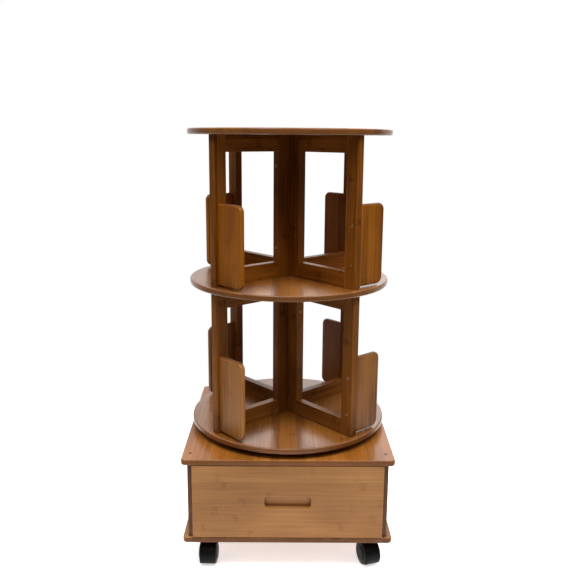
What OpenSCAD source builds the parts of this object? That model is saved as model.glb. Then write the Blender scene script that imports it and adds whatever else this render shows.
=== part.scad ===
// Revolving bookcase: a round tower of three shelves that turns on a drawer base with castors.
// The floor is z = 0, the tower turns about the Z axis and the drawer opens towards -Y.
// All sizes are in millimetres and all angles in degrees.

/* [Shelves] */
// Diameter of the three round shelves
shelf_d = 458; // [420:1:500]
// Thickness of a shelf
shelf_t = 13.5; // [12:0.5:20]
// Rounding of a shelf's rim
shelf_edge_r = 4; // [1:0.5:5.5]
// Clear height of one tier
tier_h = 320; // [280:1:360]
// Turn of the tower away from the diagonals of the base
rest_turn = -3.4; // [-10:0.1:10]

/* [Frames] */
// Thickness of a frame
frame_t = 18; // [16:0.5:24]
// Width of a frame's uprights
stile_w = 32; // [28:1:44]
// Height of a frame's cross rails
rail_h = 36; // [24:1:60]
// Distance from the shelf's rim to a frame's outer end
frame_inset = 10.5; // [8:0.5:20]
// Rounding of the outer upright edges
frame_edge_r = 3; // [1:0.5:6]

/* [Bookends] */
// Width of a bookend board
bookend_w = 78; // [50:1:84]
// Height of a bookend board
bookend_h = 176; // [130:1:220]
// Thickness of a bookend board
bookend_t = 12; // [9:0.5:16]
// Rounding of a bookend board's free corners
bookend_corner_r = 15; // [5:1:24]
// Gap under a bookend board
bookend_lift = 3; // [1:0.5:8]
// Distance from a frame's outer end to the outer face of its bookend board
bookend_inset = 8; // [4:0.5:12]

/* [Base] */
// Side of the square base top
base_w = 460; // [430:1:520]
// Thickness of the base top
base_top_t = 13; // [10:0.5:20]
// How far the bottom panel stays inside the outline of the base top
bottom_setback = 1; // [0:0.5:5]
// Thickness of the bottom panel
bottom_t = 12; // [11:0.5:20]
// Rounding of the corners of the base top and the bottom panel
base_corner_r = 10; // [4:1:25]
// Clear height between the bottom panel and the base top
case_h = 170.5; // [150:0.5:260]
// Distance from the base top's sides to the side panels
side_inset = 13; // [8:0.5:25]
// Distance from the base top's front and rear to the side panels' edges
front_inset = 9; // [5:0.5:20]
// Thickness of the side panels and the back panel
panel_t = 9; // [8:0.5:15]
// Distance from the side panels' rear edges to the back panel
back_inset = 3; // [0:0.5:10]

/* [Drawer] */
// How far the drawer front stands out of the case
drawer_proud = 8; // [2:0.5:9]
// Gap around the drawer front
drawer_gap = 1; // [0.5:0.1:2]
// Thickness of the drawer front
drawer_front_t = 12; // [10:0.5:18]
// Height of the drawer box
drawer_box_h = 130; // [100:1:140]
// Thickness of the drawer box's boards
drawer_board_t = 9; // [8:0.5:12]
// Thickness of the drawer's floor
drawer_floor_t = 5; // [3:0.5:8]
// Gap between the drawer box and the side panels
drawer_side_gap = 1.5; // [1:0.1:4]
// Distance from the drawer box to the back panel
drawer_back_gap = 25; // [5:1:60]
// Width of the finger slot
slot_w = 100; // [70:1:140]
// Height of the finger slot
slot_h = 27; // [20:1:40]
// Rounding of the finger slot's corners
slot_r = 8; // [2:0.5:9.5]
// Distance from the finger slot to the screws of the drawer front
drawer_screw_gap = 45; // [30:1:60]

/* [Turntable] */
// Height of the turntable between the base top and the lower shelf
turntable_h = 12; // [11:0.5:16]
// Outer diameter of the turntable
turntable_d = 300; // [240:1:340]
// Width of a turntable ring
ring_w = 18; // [14:0.5:24]
// Gap between the two turntable rings
race_gap = 3.2; // [2.6:0.1:4]
// Diameter of a bearing ball
ball_d = 6; // [5:0.5:6.5]
// Number of bearing balls
ball_count = 24; // [12:1:36]

/* [Castors] */
// Height from the floor to the bottom panel
castor_h = 65; // [62:0.5:75]
// Diameter of a castor wheel
wheel_d = 50; // [44:1:52]
// Width of a castor wheel's tread
wheel_w = 12; // [10:0.5:15]
// Height of the dome on a wheel's outer face
wheel_dome = 2.5; // [1:0.5:4]
// Thickness of the web between the two wheels
web_t = 12; // [11:0.5:16]
// Distance from the swivel axis to the axle
castor_trail = 18; // [15:0.5:22]
// Wall of the hood over the wheels
hood_wall = 2; // [1.5:0.1:3]
// Height of the hood's lip above the floor
hood_lip_z = 8; // [5:0.5:14]
// Distance from the swivel axes to the bottom panel's left and right edges
castor_inset_x = 54; // [50:1:90]
// Distance from the swivel axes to the bottom panel's front and rear edges
castor_inset_y = 50; // [50:1:90]
// Side of a castor's mounting plate
plate_w = 40; // [34:1:50]
// Thickness of a castor's mounting plate
plate_t = 2.5; // [2:0.5:4]
// Diameter of a castor's stem
stem_d = 8; // [6:0.5:9]
// Diameter of a castor's axle
axle_d = 6; // [5:0.5:8]

/* [Fasteners] */
// Shank diameter of the shelf bolts and studs
bolt_d = 6; // [4:0.5:8]
// Head diameter of the shelf bolts
bolt_head_d = 12; // [10:0.5:14]
// How far a shelf bolt or stud reaches into a frame
bolt_reach = 32; // [20:1:36]
// Shank diameter of the wood screws
screw_d = 3.5; // [3:0.1:4.5]
// Head diameter of the wood screws
screw_head_d = 7; // [6:0.1:8.5]
// How far a long wood screw bites into the second board
screw_bite = 22; // [14:1:26]
// Height of the lower bookend screw above its shelf
bookend_screw_z = 50; // [44:1:60]
// Distance between the two screws of a bookend board
bookend_screw_pitch = 84; // [50:1:86]
// Distance from a shelf to the nearest centre screw of a frame
centre_screw_z = 68; // [64:1:100]
// Difference in height between the centre screws of opposite frames
centre_screw_step = 12; // [8:1:20]
// Distance from the corners of the case to the case screws
case_screw_inset = 25; // [15:1:60]

/* [Hidden] */
$fn = 48;
// Clearances
hole_clear = 0.1;
run_clear = 0.05;
press_clear = 0.02;
ball_clear = 0.3;
slide_clear = 0.3;
wheel_clear = 1;
wheel_side_clear = 0.5;
ring_air = 1;
cage_clear = 0.8;
cage_lip = 0.9;
groove_depth = 4;
groove_clear = 0.2;
floor_lift = 8;
overcut = 1;

// Heights from the floor up
bottom_z = castor_h;
case_z = bottom_z + bottom_t;
base_top_z = case_z + case_h;
turntable_z = base_top_z + base_top_t;
lower_shelf_z = turntable_z + turntable_h;
lower_tier_z = lower_shelf_z + shelf_t;
middle_shelf_z = lower_tier_z + tier_h;
upper_tier_z = middle_shelf_z + shelf_t;
top_shelf_z = upper_tier_z + tier_h;

// Frames, measured from the turning axis
frame_out = shelf_d/2 - frame_inset;
core_r = frame_t/2 + stile_w;
window_out = frame_out - stile_w;
bolt_radii = [core_r - stile_w/2, frame_out - stile_w/2];
QUADRANT_BACK_RIGHT = 0;
QUADRANT_BACK_LEFT = 1;
QUADRANT_FRONT_LEFT = 2;
QUADRANT_FRONT_RIGHT = 3;
quadrants = [0, 1, 2, 3];

// Bookend boards
bookend_out = frame_out - bookend_inset;
bookend_mid = bookend_out - bookend_t/2;

// Base case
bottom_w = base_w - 2*bottom_setback;
case_out = base_w/2 - side_inset;
case_in = case_out - panel_t;
case_front = base_w/2 - front_inset;
back_y = case_front - back_inset - panel_t;
side_mid = case_out - panel_t/2;
back_mid = back_y + panel_t/2;

// Drawer
drawer_y = -case_front - drawer_proud;
box_y = drawer_y + drawer_front_t;
box_back_y = back_y - drawer_back_gap;
box_out = case_in - drawer_side_gap;
box_in = box_out - drawer_board_t;
box_z = case_z + slide_clear;
front_w = 2*(case_in - drawer_gap);
front_z = case_z + drawer_gap;
front_h = case_h - 2*drawer_gap;
slot_z = front_z + front_h/2;
drawer_screw_x = slot_w/2 + drawer_screw_gap;
drawer_screw_dz = 30;

// Turntable
ball_pos = turntable_d/2 - ring_w - race_gap/2;
ring_mid_z = turntable_z + turntable_h/2;
ring_h = turntable_h - ring_air;
race_r = ball_d/2 + ball_clear;
cage_h = 2*(race_r + cage_lip);
ring_screw_count = 6;
ring_screw_bite = 9;
outer_screw_r = turntable_d/2 - ring_w/2;
inner_screw_r = ball_pos - race_gap/2 - ring_w/2;

// Castors
wheel_r = wheel_d/2;
well_r = wheel_r + wheel_clear;
hood_r = well_r + hood_wall;
wheel_in = web_t/2 + wheel_side_clear;
wheel_out = wheel_in + wheel_w;
tyre_show = 1;
hood_half_w = wheel_out - tyre_show;
hood_barrel_r = norm([well_r + hood_wall/2, hood_half_w]);
hood_open = 4;
boss_wall = 3;
boss_r = web_t/2 + boss_wall;
boss_top = castor_h - plate_t - wheel_side_clear;
stem_end = wheel_r + axle_d + stem_d/2;
castor_x = bottom_w/2 - castor_inset_x;
castor_y = bottom_w/2 - castor_inset_y;
plate_corner_r = 4;
plate_hole_inset = 6;
plate_hole = plate_w/2 - plate_hole_inset;
plate_screw_bite = 9;
tyre_edge_r = 2;
dome_r = wheel_r - 2*tyre_edge_r;
// Trail direction at rest of the left and the right castors, turned outwards from the front or the rear
castor_toe_left = 2;
castor_toe_right = 20;

// Screw heads
bolt_head_h = (bolt_head_d - bolt_d)/2;
screw_head_h = (screw_head_d - screw_d)/2;

SHELF_COLOUR = "#7d4a1e";
FRAME_COLOUR = "#5a3512";
BOOKEND_COLOUR = "#7a4a1c";
PANEL_COLOUR = "#8a5a30";
DRAWER_COLOUR = "#a07148";
BOX_COLOUR = "#b48a5c";
STEEL_COLOUR = "#b8b8b8";
ALUMINIUM_COLOUR = "#c8ccd0";
CASTOR_COLOUR = "#151515";

// Places a child that points along +X on one diagonal of the tower
module on_diagonal(quadrant) {
    rotate([0, 0, 45 + 90*quadrant + rest_turn]) children();
}

// Repeats a child round the Z axis
module ring_of(count, radius) {
    for (i = [0 : count - 1])
        rotate([0, 0, i*360/count]) translate([radius, 0, 0]) children();
}

// Rectangle with its lower left corner at the origin and all corners rounded
module rounded_rect(w, h, r) {
    translate([r, 0]) square([w - 2*r, h]);
    translate([0, r]) square([w, h - 2*r]);
    for (x = [r, w - r], y = [r, h - r])
        translate([x, y]) circle(r);
}

// Countersunk fastener that points down, with a 45 degree head whose top is at z = 0
// With a clearance it is the hole for that fastener, and runs past the face
module countersunk(shank_d, head_d, head_h, length, clear = 0) {
    past = clear > 0 ? overcut : 0;
    translate([0, 0, -head_h])
        cylinder(d1 = shank_d + 2*clear, d2 = head_d + 2*(clear + past), h = head_h + past);
    translate([0, 0, -length - clear]) cylinder(d = shank_d + 2*clear, h = length + clear);
}

module wood_screw(length, clear = 0) {
    countersunk(screw_d, screw_head_d, screw_head_h, length, clear);
}

module shelf_bolt(clear = 0) {
    countersunk(bolt_d, bolt_head_d, bolt_head_h, shelf_t + bolt_reach, clear);
}

// Stud that reaches into the frames below and above the shelf whose underside is at z = 0
module shelf_stud(clear = 0) {
    translate([0, 0, -bolt_reach - clear])
        cylinder(d = bolt_d + 2*clear, h = shelf_t + 2*(bolt_reach + clear));
}

module at_shelf_bolts(z) {
    for (quadrant = quadrants, radius = bolt_radii)
        on_diagonal(quadrant) translate([radius, 0, z]) children();
}

module top_bolts(clear = 0) {
    at_shelf_bolts(top_shelf_z + shelf_t) shelf_bolt(clear);
}

module middle_studs(clear = 0) {
    at_shelf_bolts(middle_shelf_z) shelf_stud(clear);
}

module lower_bolts(clear = 0) {
    at_shelf_bolts(lower_shelf_z) mirror([0, 0, 1]) shelf_bolt(clear);
}

// Round board with a rounded rim
module shelf_disc(z) {
    translate([0, 0, z]) rotate_extrude() {
        square([shelf_d/2 - shelf_edge_r, shelf_t]);
        translate([0, shelf_edge_r]) square([shelf_d/2, shelf_t - 2*shelf_edge_r]);
        for (y = [shelf_edge_r, shelf_t - shelf_edge_r])
            translate([shelf_d/2 - shelf_edge_r, y]) circle(shelf_edge_r);
    }
}

// Plan of a frame from the radius inner to its rounded outer end
module frame_plan(inner) {
    translate([inner, -frame_t/2]) square([frame_out - frame_edge_r - inner, frame_t]);
    translate([inner, frame_edge_r - frame_t/2]) square([frame_out - inner, frame_t - 2*frame_edge_r]);
    for (side = [-1, 1])
        translate([frame_out - frame_edge_r, side*(frame_t/2 - frame_edge_r)]) circle(frame_edge_r);
}

module frame_window(tier_z) {
    translate([core_r, -frame_t/2 - overcut, tier_z + rail_h])
        cube([window_out - core_r, frame_t + 2*overcut, tier_h - 2*rail_h]);
}

// Holes for everything that is driven into the frames of one tier
module frame_holes(upper) {
    middle_studs(hole_clear);
    if (upper) top_bolts(hole_clear); else lower_bolts(hole_clear);
    tier_bookend_screws(upper, hole_clear);
    tier_centre_screws(upper, hole_clear);
}

function tier_z(upper) = upper ? upper_tier_z : lower_tier_z;
// The frames that butt against the double frame: one diagonal in each tier
function single_quadrants(upper) =
    upper ? [QUADRANT_FRONT_LEFT, QUADRANT_BACK_RIGHT] : [QUADRANT_FRONT_RIGHT, QUADRANT_BACK_LEFT];
function double_quadrant(upper) = upper ? QUADRANT_FRONT_RIGHT : QUADRANT_FRONT_LEFT;

// Frame with one window, from the double frame's face to the shelf's rim
module single_frame(upper, quadrant) {
    color(FRAME_COLOUR) difference() {
        on_diagonal(quadrant) difference() {
            translate([0, 0, tier_z(upper)]) linear_extrude(tier_h) frame_plan(frame_t/2);
            frame_window(tier_z(upper));
        }
        frame_holes(upper);
    }
}

// Frame with two windows that spans the whole shelf
module double_frame(upper) {
    color(FRAME_COLOUR) difference() {
        on_diagonal(double_quadrant(upper)) difference() {
            translate([0, 0, tier_z(upper)]) linear_extrude(tier_h)
                for (turn = [0, 180]) rotate(turn) frame_plan(0);
            for (turn = [0, 180]) rotate([0, 0, turn]) frame_window(tier_z(upper));
        }
        frame_holes(upper);
    }
}

// Board across the end of a frame that stops books, with its free corners rounded
module bookend(upper, quadrant) {
    color(BOOKEND_COLOUR) difference() {
        on_diagonal(quadrant)
            translate([bookend_out, frame_t/2, tier_z(upper) + bookend_lift])
            rotate([90, 0, -90]) mirror([1, 0, 0]) linear_extrude(bookend_t) {
                square([bookend_w - bookend_corner_r, bookend_h]);
                translate([0, bookend_corner_r]) square([bookend_w, bookend_h - 2*bookend_corner_r]);
                for (y = [bookend_corner_r, bookend_h - bookend_corner_r])
                    translate([bookend_w - bookend_corner_r, y]) circle(bookend_corner_r);
            }
        tier_bookend_screws(upper, hole_clear);
    }
}

// Screws through the frames of one tier into the ends of the bookend boards
module tier_bookend_screws(upper, clear = 0) {
    for (quadrant = quadrants, z = [0, bookend_screw_pitch])
        on_diagonal(quadrant)
            translate([bookend_mid, -frame_t/2, tier_z(upper) + bookend_screw_z + z])
            rotate([90, 0, 0]) wood_screw(frame_t + screw_bite, clear);
}

// Height of a centre screw above its shelf, stepped so that opposite screws pass each other
function centre_screw_height(side, end) =
    abs(end*tier_h - centre_screw_z - side*centre_screw_step);

// Screws through the inner uprights of the single frames into the double frame
module tier_centre_screws(upper, clear = 0) {
    for (side = [0, 1], end = [0, 1])
        on_diagonal(single_quadrants(upper)[side])
            translate([core_r, 0, tier_z(upper) + centre_screw_height(side, end)])
            rotate([0, 90, 0]) wood_screw(stile_w + frame_t - screw_head_h, clear);
}

module top_shelf() {
    color(SHELF_COLOUR) difference() {
        shelf_disc(top_shelf_z);
        top_bolts(hole_clear);
    }
}

module middle_shelf() {
    color(SHELF_COLOUR) difference() {
        shelf_disc(middle_shelf_z);
        middle_studs(hole_clear);
    }
}

module lower_shelf() {
    color(SHELF_COLOUR) difference() {
        shelf_disc(lower_shelf_z);
        lower_bolts(hole_clear);
        shelf_ring_screws(hole_clear);
    }
}

module top_shelf_bolts() {
    color(STEEL_COLOUR) top_bolts();
}

module middle_shelf_studs() {
    color(STEEL_COLOUR) middle_studs();
}

module lower_shelf_bolts() {
    color(STEEL_COLOUR) lower_bolts();
}

module centre_screws() {
    color(STEEL_COLOUR) for (upper = [false, true]) tier_centre_screws(upper);
}

module bookend_screws() {
    color(STEEL_COLOUR) for (upper = [false, true]) tier_bookend_screws(upper);
}

// Groove for the balls that both turntable rings share
module ball_race() {
    rotate_extrude() translate([ball_pos, ring_mid_z]) circle(race_r);
}

module turntable_ring(inner_r, z) {
    translate([0, 0, z]) rotate_extrude() translate([inner_r, 0]) square([ring_w, ring_h]);
}

// Screws down through the outer ring into the base top
module base_ring_screws(clear = 0) {
    ring_of(ring_screw_count, outer_screw_r)
        translate([0, 0, turntable_z + ring_h]) wood_screw(ring_h + ring_screw_bite, clear);
}

// Screws up through the inner ring into the lower shelf
module shelf_ring_screws(clear = 0) {
    ring_of(ring_screw_count, inner_screw_r)
        translate([0, 0, lower_shelf_z - ring_h]) mirror([0, 0, 1])
            wood_screw(ring_h + ring_screw_bite, clear);
}

module turntable_outer_ring() {
    color(ALUMINIUM_COLOUR) difference() {
        turntable_ring(ball_pos + race_gap/2, turntable_z);
        ball_race();
        base_ring_screws(hole_clear);
    }
}

module turntable_inner_ring() {
    color(ALUMINIUM_COLOUR) difference() {
        turntable_ring(ball_pos - race_gap/2 - ring_w, lower_shelf_z - ring_h);
        ball_race();
        shelf_ring_screws(hole_clear);
    }
}

// Thin ring with one round pocket for each ball
module ball_cage() {
    color(CASTOR_COLOUR) difference() {
        translate([0, 0, ring_mid_z - cage_h/2]) rotate_extrude()
            translate([ball_pos - race_gap/2 + cage_clear, 0]) square([race_gap - 2*cage_clear, cage_h]);
        ring_of(ball_count, ball_pos)
            translate([-race_gap, 0, ring_mid_z]) rotate([0, 90, 0]) cylinder(r = race_r, h = 2*race_gap);
    }
}

module turntable_balls() {
    color(STEEL_COLOUR) ring_of(ball_count, ball_pos)
        translate([0, 0, ring_mid_z]) sphere(d = ball_d);
}

module turntable_base_screws() {
    color(STEEL_COLOUR) base_ring_screws();
}

module turntable_shelf_screws() {
    color(STEEL_COLOUR) shelf_ring_screws();
}

// Square board with rounded corners, centred on the turning axis
module base_board(w, t, z) {
    translate([-w/2, -w/2, z]) linear_extrude(t) rounded_rect(w, w, base_corner_r);
}

// Screws through the base top and the bottom panel into the edges of the case panels
module panel_screws(clear = 0) {
    length_top = base_top_t + screw_bite;
    length_bottom = bottom_t + screw_bite;
    side_y = case_front - case_screw_inset;
    side_points = [for (x = [-side_mid, side_mid], y = [-side_y, side_y]) [x, y]];
    back_points = [for (x = [-1, 1]) [x*(case_in - 2*case_screw_inset), back_mid]];
    for (point = concat(side_points, back_points)) translate(point) {
        translate([0, 0, base_top_z + base_top_t]) wood_screw(length_top, clear);
        translate([0, 0, bottom_z]) mirror([0, 0, 1]) wood_screw(length_bottom, clear);
    }
}

module base_top() {
    color(PANEL_COLOUR) difference() {
        base_board(base_w, base_top_t, base_top_z);
        panel_screws(hole_clear);
        base_ring_screws(hole_clear);
    }
}

module bottom_panel() {
    color(PANEL_COLOUR) difference() {
        base_board(bottom_w, bottom_t, bottom_z);
        panel_screws(hole_clear);
        plate_screws(hole_clear);
    }
}

module side_panel(side) {
    color(PANEL_COLOUR) difference() {
        translate([side*side_mid - panel_t/2, -case_front, case_z]) cube([panel_t, 2*case_front, case_h]);
        panel_screws(hole_clear);
    }
}

module back_panel() {
    color(PANEL_COLOUR) difference() {
        translate([-case_in, back_y, case_z]) cube([2*case_in, panel_t, case_h]);
        panel_screws(hole_clear);
    }
}

module case_screws() {
    color(STEEL_COLOUR) panel_screws();
}

// Screws from inside the drawer box into the drawer front
module front_screws(clear = 0) {
    length = drawer_board_t + drawer_front_t*2/3;
    for (x = [-1, 1], z = [-1, 1])
        translate([x*drawer_screw_x, box_y + drawer_board_t, slot_z + z*drawer_screw_dz])
        rotate([-90, 0, 0]) wood_screw(length, clear);
}

// Groove for the drawer floor in the four boards of the box
module floor_groove() {
    translate([-box_in - groove_depth, box_y + drawer_board_t - groove_depth, box_z + floor_lift])
        cube([2*(box_in + groove_depth), box_floor_length(), drawer_floor_t + groove_clear]);
}

function box_floor_length() = box_back_y - box_y - 2*(drawer_board_t - groove_depth);

module drawer_front() {
    color(DRAWER_COLOUR) difference() {
        translate([-front_w/2, drawer_y, front_z]) cube([front_w, drawer_front_t, front_h]);
        translate([-slot_w/2, drawer_y + drawer_front_t + overcut, slot_z - slot_h/2])
            rotate([90, 0, 0]) linear_extrude(drawer_front_t + 2*overcut)
            rounded_rect(slot_w, slot_h, slot_r);
        front_screws(hole_clear);
    }
}

module drawer_inner_front() {
    color(BOX_COLOUR) difference() {
        translate([-box_in, box_y, box_z]) cube([2*box_in, drawer_board_t, drawer_box_h]);
        floor_groove();
        front_screws(hole_clear);
    }
}

module drawer_side(side) {
    color(BOX_COLOUR) difference() {
        translate([side*(box_in + drawer_board_t/2) - drawer_board_t/2, box_y, box_z])
            cube([drawer_board_t, box_back_y - box_y, drawer_box_h]);
        floor_groove();
    }
}

module drawer_back() {
    color(BOX_COLOUR) difference() {
        translate([-box_in, box_back_y - drawer_board_t, box_z])
            cube([2*box_in, drawer_board_t, drawer_box_h]);
        floor_groove();
    }
}

module drawer_floor() {
    color(BOX_COLOUR)
        translate([-box_in - groove_depth + groove_clear,
                   box_y + drawer_board_t - groove_depth + groove_clear, box_z + floor_lift])
        cube([2*(box_in + groove_depth - groove_clear),
              box_floor_length() - 2*groove_clear, drawer_floor_t]);
}

module drawer_screws() {
    color(STEEL_COLOUR) front_screws();
}

// Puts a castor, which trails along +X from its swivel axis, under one corner of the base
module at_castor(x_side, y_side) {
    translate([x_side*castor_x, y_side*castor_y, 0])
        rotate([0, 0, y_side*(90 - x_side*(x_side > 0 ? castor_toe_right : castor_toe_left))]) children();
}

module at_castor_corners() {
    for (x = [-1, 1], y = [-1, 1])
        translate([x*castor_x, y*castor_y, 0]) children();
}

// Screws up through the mounting plates into the bottom panel
module plate_screws(clear = 0) {
    at_castor_corners() for (x = [-plate_hole, plate_hole], y = [-plate_hole, plate_hole])
        translate([x, y, castor_h - plate_t]) mirror([0, 0, 1])
            wood_screw(plate_t + plate_screw_bite, clear);
}

// Stems on the swivel axes, from inside the hoods up to the bottom panel
module stems(clear = 0, past = 0) {
    at_castor_corners() translate([0, 0, stem_end])
        cylinder(d = stem_d + 2*clear, h = castor_h - stem_end + past);
}

module castor_plates() {
    color(STEEL_COLOUR) difference() {
        at_castor_corners() translate([-plate_w/2, -plate_w/2, castor_h - plate_t])
            linear_extrude(plate_t) rounded_rect(plate_w, plate_w, plate_corner_r);
        stems(press_clear, overcut);
        plate_screws(hole_clear);
    }
}

module castor_stems() {
    color(STEEL_COLOUR) stems();
}

module castor_screws() {
    color(STEEL_COLOUR) plate_screws();
}

// Cylinder along the axle of a castor
module along_axle(r, y0, y1) {
    translate([castor_trail, y1, wheel_r]) rotate([90, 0, 0]) cylinder(r = r, h = y1 - y0);
}

// Arched shell over the top and the trailing side of both wheels
module hood_fender() {
    difference() {
        intersection() {
            along_axle(hood_r, -hood_half_w, hood_half_w);
            translate([castor_trail, 0, wheel_r]) sphere(hood_barrel_r, $fn = 96);
        }
        translate([castor_trail - hood_open - 2*hood_r, -2*hood_r, 0]) cube([2*hood_r, 4*hood_r, 4*hood_r]);
    }
}

// Helmet hood with a web between the wheels and a boss round the stem
module castor_hood(x_side, y_side) {
    color(CASTOR_COLOUR) at_castor(x_side, y_side) difference() {
        union() {
            hood_fender();
            along_axle(hood_r, -web_t/2, web_t/2);
            translate([0, 0, wheel_r]) cylinder(r = boss_r, h = boss_top - wheel_r);
        }
        for (side = [-1, 1])
            along_axle(well_r, side > 0 ? web_t/2 : -3*hood_r, side > 0 ? 3*hood_r : -web_t/2);
        translate([-2*hood_r, -2*hood_r, hood_lip_z - 2*hood_r]) cube([6*hood_r, 4*hood_r, 2*hood_r]);
        translate([0, 0, stem_end - wheel_side_clear]) cylinder(d = stem_d + 2*run_clear, h = castor_h);
        along_axle(axle_d/2 + press_clear, -web_t, web_t);
    }
}

module castor_axle(x_side, y_side) {
    color(STEEL_COLOUR) at_castor(x_side, y_side) along_axle(axle_d/2, -wheel_out, wheel_out);
}

// Tread with rounded edges and a shallow dome over the blind end of the axle
module castor_wheel(x_side, y_side, side) {
    color(CASTOR_COLOUR) at_castor(x_side, y_side)
        translate([castor_trail, 0, wheel_r]) rotate([-90*side, 0, 0]) difference() {
            union() {
                translate([0, 0, wheel_in]) rotate_extrude() {
                    square([wheel_r - tyre_edge_r, wheel_w]);
                    translate([0, tyre_edge_r]) square([wheel_r, wheel_w - 2*tyre_edge_r]);
                    for (y = [tyre_edge_r, wheel_w - tyre_edge_r])
                        translate([wheel_r - tyre_edge_r, y]) circle(tyre_edge_r);
                }
                translate([0, 0, wheel_out])
                    cylinder(r1 = dome_r, r2 = dome_r - 3*wheel_dome, h = wheel_dome);
            }
            cylinder(d = axle_d + 2*run_clear, h = wheel_out + wheel_side_clear);
        }
}

top_shelf();
middle_shelf();
lower_shelf();
double_frame(true);  // upper_double_frame
single_frame(true, QUADRANT_FRONT_LEFT);  // upper_frame_front_left
single_frame(true, QUADRANT_BACK_RIGHT);  // upper_frame_back_right
double_frame(false);  // lower_double_frame
single_frame(false, QUADRANT_FRONT_RIGHT);  // lower_frame_front_right
single_frame(false, QUADRANT_BACK_LEFT);  // lower_frame_back_left
bookend(true, QUADRANT_FRONT_LEFT);  // upper_bookend_front_left
bookend(true, QUADRANT_FRONT_RIGHT);  // upper_bookend_front_right
bookend(true, QUADRANT_BACK_LEFT);  // upper_bookend_back_left
bookend(true, QUADRANT_BACK_RIGHT);  // upper_bookend_back_right
bookend(false, QUADRANT_FRONT_LEFT);  // lower_bookend_front_left
bookend(false, QUADRANT_FRONT_RIGHT);  // lower_bookend_front_right
bookend(false, QUADRANT_BACK_LEFT);  // lower_bookend_back_left
bookend(false, QUADRANT_BACK_RIGHT);  // lower_bookend_back_right
top_shelf_bolts();
middle_shelf_studs();
lower_shelf_bolts();
centre_screws();
bookend_screws();
turntable_outer_ring();
turntable_inner_ring();
ball_cage();
turntable_balls();
turntable_base_screws();
turntable_shelf_screws();
base_top();
bottom_panel();
side_panel(-1);  // left_side_panel
side_panel(1);  // right_side_panel
back_panel();
case_screws();
drawer_front();
drawer_inner_front();
drawer_side(-1);  // drawer_left_side
drawer_side(1);  // drawer_right_side
drawer_back();
drawer_floor();
drawer_screws();
castor_plates();
castor_stems();
castor_screws();
castor_hood(-1, -1);  // front_left_castor_hood
castor_hood(1, -1);  // front_right_castor_hood
castor_hood(-1, 1);  // back_left_castor_hood
castor_hood(1, 1);  // back_right_castor_hood
castor_axle(-1, -1);  // front_left_castor_axle
castor_axle(1, -1);  // front_right_castor_axle
castor_axle(-1, 1);  // back_left_castor_axle
castor_axle(1, 1);  // back_right_castor_axle
castor_wheel(-1, -1, 1);  // front_left_castor_wheel_a
castor_wheel(-1, -1, -1);  // front_left_castor_wheel_b
castor_wheel(1, -1, 1);  // front_right_castor_wheel_a
castor_wheel(1, -1, -1);  // front_right_castor_wheel_b
castor_wheel(-1, 1, 1);  // back_left_castor_wheel_a
castor_wheel(-1, 1, -1);  // back_left_castor_wheel_b
castor_wheel(1, 1, 1);  // back_right_castor_wheel_a
castor_wheel(1, 1, -1);  // back_right_castor_wheel_b
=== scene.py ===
"""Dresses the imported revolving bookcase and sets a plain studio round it."""
import logging
import math
from dataclasses import dataclass, field
from enum import Enum, IntEnum
from typing import Callable, Iterable, Optional

import bmesh
import bpy
from mathutils import Matrix, Vector


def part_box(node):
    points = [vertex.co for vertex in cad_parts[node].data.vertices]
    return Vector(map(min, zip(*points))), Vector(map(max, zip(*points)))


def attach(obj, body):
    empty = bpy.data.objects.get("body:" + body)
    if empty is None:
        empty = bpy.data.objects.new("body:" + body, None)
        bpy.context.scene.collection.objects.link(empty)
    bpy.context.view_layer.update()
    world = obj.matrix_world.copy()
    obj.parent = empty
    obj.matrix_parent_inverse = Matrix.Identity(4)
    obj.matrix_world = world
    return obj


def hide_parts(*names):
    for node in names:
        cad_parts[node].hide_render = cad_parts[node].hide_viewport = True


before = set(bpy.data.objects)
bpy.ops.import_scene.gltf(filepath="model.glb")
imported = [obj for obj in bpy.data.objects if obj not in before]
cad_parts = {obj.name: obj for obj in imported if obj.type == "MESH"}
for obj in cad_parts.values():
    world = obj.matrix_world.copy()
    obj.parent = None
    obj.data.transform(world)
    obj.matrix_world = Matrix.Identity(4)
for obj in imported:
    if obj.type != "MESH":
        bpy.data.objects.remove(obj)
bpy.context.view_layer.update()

LOG = logging.getLogger("bookcase")
MM = 0.001
# Slack of comparisons between places, in millimetres
NEAR = 0.01
# Face-corner attributes of the boards: a point's place in the grain, in millimetres,
# and how far its face cuts across the fibres
GRAIN = "grain"
CUT = "end_grain"
# Step from one board's grain pattern to the next, in millimetres
PATTERN_STEP = Vector((131.0, 57.0, 23.0))
# Patterns kept for each frame, for the bookend boards of a diagonal, and between those of the two tiers
FRAME_PATTERNS = 10
BOOKEND_PATTERNS = 5
TIER_PATTERNS = 3
# Furthest that a strip's pattern is shifted along the culm, in millimetres
STRIP_START = 971.0
# Bamboo patterns, in waves per millimetre along, across and through the boards. Real fibres are
# under 1 mm wide: the coarse ones here are about 3 mm wide, so that they show in the render.
FIBRES = (0.006, 0.34, 0.34)
THREADS = (0.02, 1.4, 1.4)
SMUDGES = (0.16, 0.12, 0.12)
STAINS = (0.007, 0.012, 0.012)
# Faces that meet at less than the first angle are shaded as one, at more than the second they are square
SMOOTH_ANGLE = math.radians(40)
SQUARE_ANGLE = math.radians(60)

AXIS_X = Vector((1, 0, 0))
AXIS_Y = Vector((0, 1, 0))
AXIS_Z = Vector((0, 0, 1))
UPSIDE_DOWN = Matrix.Rotation(math.pi, 4, "X")


class Tier(Enum):
    """The two storeys of the tower."""

    LOWER = "lower"
    UPPER = "upper"


class Quadrant(Enum):
    """The four diagonals of the tower, by turn about the axis."""

    BACK_RIGHT = 0
    BACK_LEFT = 1
    FRONT_LEFT = 2
    FRONT_RIGHT = 3


class Corner(Enum):
    """The four corners of the base, by the names of their castors."""

    FRONT_LEFT = "front_left"
    FRONT_RIGHT = "front_right"
    BACK_LEFT = "back_left"
    BACK_RIGHT = "back_right"


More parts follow.
